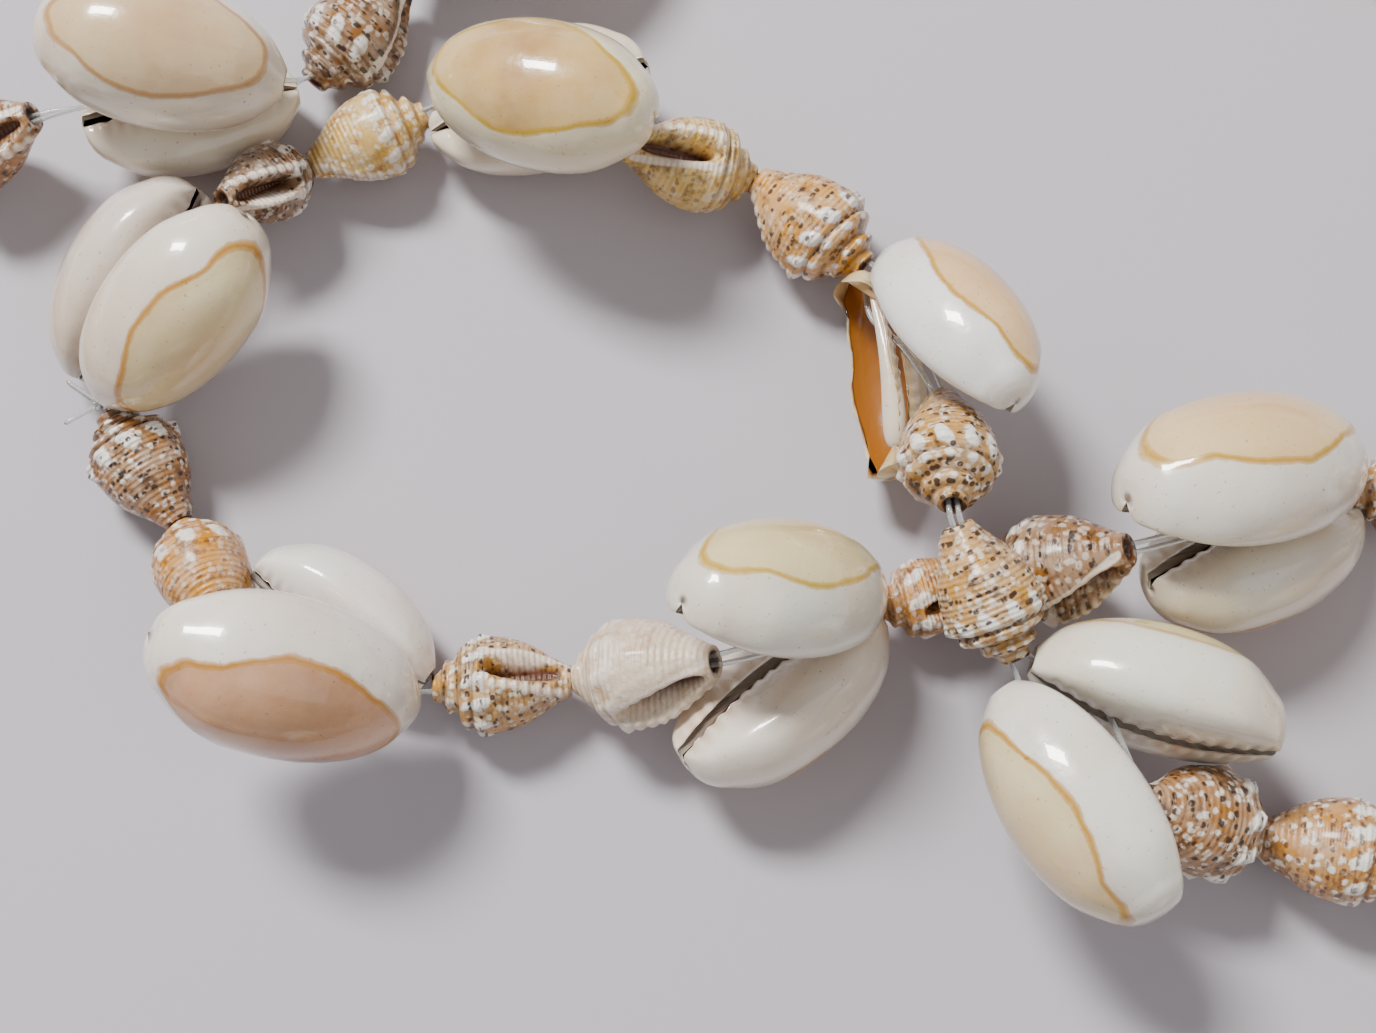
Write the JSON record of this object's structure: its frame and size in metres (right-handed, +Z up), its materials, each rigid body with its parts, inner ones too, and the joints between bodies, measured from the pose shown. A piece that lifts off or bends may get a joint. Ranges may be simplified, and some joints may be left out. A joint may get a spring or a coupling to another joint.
{
  "type": "cowrie shell necklace",
  "caption": "Closed string of paired ring cowries and small spotted dove shells on two clear threads, lying crossed on a surface.",
  "frame": {"origin": "middle of the footprint, on the surface that the necklace lies on", "axes": "+Z up from the surface, +X along the longer side of the crossed loop, +Y to the far side of the picture"},
  "size_m": [0.19, 0.1434, 0.0193],
  "materials": {
    "cowrie": "glossy, ivory with a thin golden ring on the back",
    "dove_shell": "satin, cream with brown and white spots",
    "thread": "clear nylon"
  },
  "bodies": {
    "root": {"cowrie_01_a": "cowrie", "cowrie_01_b": "cowrie", "cowrie_02_a": "cowrie", "cowrie_02_b": "cowrie", "cowrie_03_a": "cowrie", "cowrie_03_b": "cowrie", "cowrie_04_a": "cowrie", "cowrie_04_b": "cowrie", "cowrie_05_a": "cowrie", "cowrie_05_b": "cowrie", "cowrie_06_a": "cowrie", "cowrie_06_b": "cowrie", "cowrie_07_a": "cowrie", "cowrie_07_b": "cowrie", "cowrie_08_a": "cowrie", "cowrie_08_b": "cowrie", "cowrie_09_a": "cowrie", "cowrie_09_b": "cowrie", "cowrie_10_a": "cowrie", "cowrie_10_b": "cowrie", "cowrie_11_a": "cowrie", "cowrie_11_b": "cowrie", "cowrie_12_a": "cowrie", "cowrie_12_b": "cowrie", "cowrie_13_a": "cowrie", "cowrie_13_b": "cowrie", "cowrie_14_a": "cowrie", "cowrie_14_b": "cowrie", "cowrie_15_a": "cowrie", "cowrie_15_b": "cowrie", "cowrie_16_a": "cowrie", "cowrie_16_b": "cowrie", "cowrie_17_a": "cowrie", "cowrie_17_b": "cowrie", "cowrie_18_a": "cowrie", "cowrie_18_b": "cowrie", "cowrie_19_a": "cowrie", "cowrie_19_b": "cowrie", "cowrie_20_a": "cowrie", "cowrie_20_b": "cowrie", "cowrie_21_a": "cowrie", "cowrie_21_b": "cowrie", "cowrie_22_a": "cowrie", "cowrie_22_b": "cowrie", "dove_shells_first": "dove_shell", "dove_shells_second": "dove_shell", "thread_a": "thread", "thread_b": "thread", "knot": "thread"}
  },
  "joints": []
}
